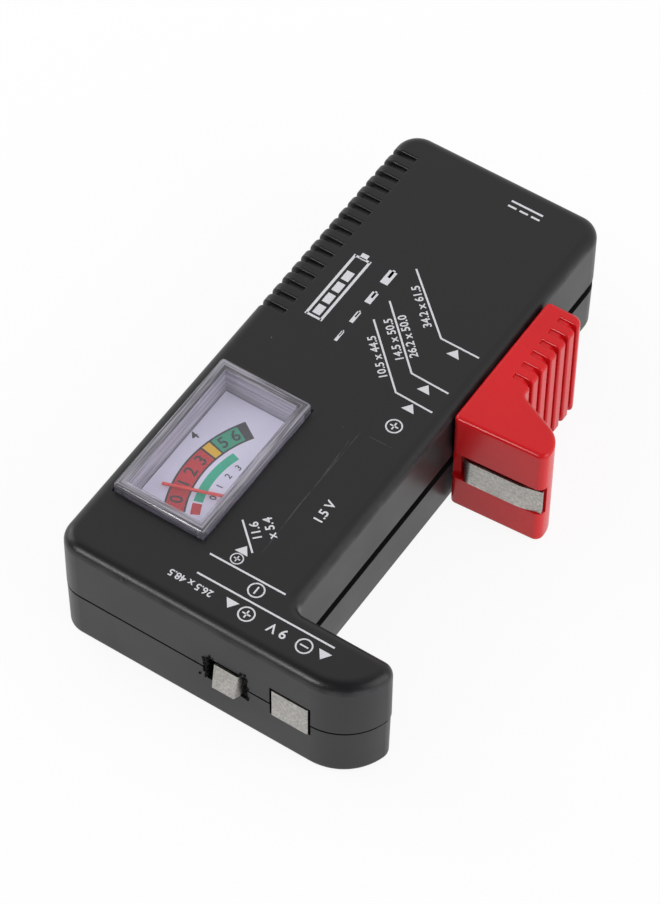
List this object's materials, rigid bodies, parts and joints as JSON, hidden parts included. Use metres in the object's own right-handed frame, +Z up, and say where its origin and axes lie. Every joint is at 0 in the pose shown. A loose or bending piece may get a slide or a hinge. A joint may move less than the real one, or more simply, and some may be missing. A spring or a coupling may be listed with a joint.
{
  "type": "battery tester",
  "caption": "Hand-held analogue battery tester: flat L-shaped case with a needle meter window, a sprung sliding jaw that clamps round cells, and front contacts for block batteries.",
  "frame": {"origin": "middle of the whole part's footprint, on the surface it lies on", "axes": "+Z up out of the meter window, +Y from the block-battery contacts to the rear, +X from the grooved grip side to the sliding jaw"},
  "size_m": [0.0608, 0.109, 0.0267],
  "materials": {
    "case_plastic": "fine matte moulded charcoal",
    "clear_plastic": "clear moulded plastic",
    "meter_plastic": "plain moulding",
    "dial_print": "printed white",
    "steel": "plain",
    "nickel_sheet": "nickel-plated spring sheet",
    "brass": "turned",
    "bronze": "flat spring strip",
    "aluminium": "stamped",
    "magnet": "sintered",
    "copper_winding": "enamelled wire",
    "needle_red": "painted red",
    "red_plastic": "glossy moulded red",
    "resistor_body": "lacquered",
    "lead_black": "insulated lead",
    "lead_red": "insulated lead",
    "lead_yellow": "insulated lead"
  },
  "bodies": {
    "case": {"upper_case": "case_plastic", "lower_case": "case_plastic", "case_screws": "steel", "meter_cover": "clear_plastic", "meter_base": "meter_plastic", "meter_tag_negative": "brass", "meter_tag_positive": "brass", "dial_plate": "dial_print", "dial_screws": "brass", "core_magnet": "magnet", "flux_ring": "steel", "core_support": "brass", "upper_jewel_screw": "brass", "lower_jewel_screw": "brass", "bearing_bridge": "aluminium", "upper_hairspring": "bronze", "lower_hairspring": "bronze", "return_spring": "steel", "spring_lug": "nickel_sheet", "block_contact_positive": "nickel_sheet", "negative_contact": "nickel_sheet", "button_contact": "nickel_sheet", "load_resistor": "resistor_body", "block_resistor": "resistor_body", "button_resistor": "resistor_body", "lead_negative": "lead_black", "lead_block": "lead_red", "lead_button": "lead_yellow"},
    "jaw": {"slider": "red_plastic", "slider_contact": "nickel_sheet"},
    "needle": {"pointer": "needle_red", "coil_former": "aluminium", "coil_winding": "copper_winding", "upper_pivot": "steel", "lower_pivot": "steel", "balance_weight": "brass"}
  },
  "joints": [
    {"name": "jaw_slide", "type": "slide", "parent": "case", "child": "jaw", "axis": [0, 1, 0], "range_m": [0, 0.018], "stiffness_N_per_m": 60, "springref_m": -0.01, "deforming": ["return_spring"]},
    {"name": "needle_swing", "type": "hinge", "parent": "case", "child": "needle", "pos_m": [-0.00097, -0.02465, 0.0105], "axis": [0, 0, -1], "range_deg": [-8, 50], "stiffness_Nm_per_rad": 0.00002, "deforming": ["upper_hairspring", "lower_hairspring"]}
  ]
}
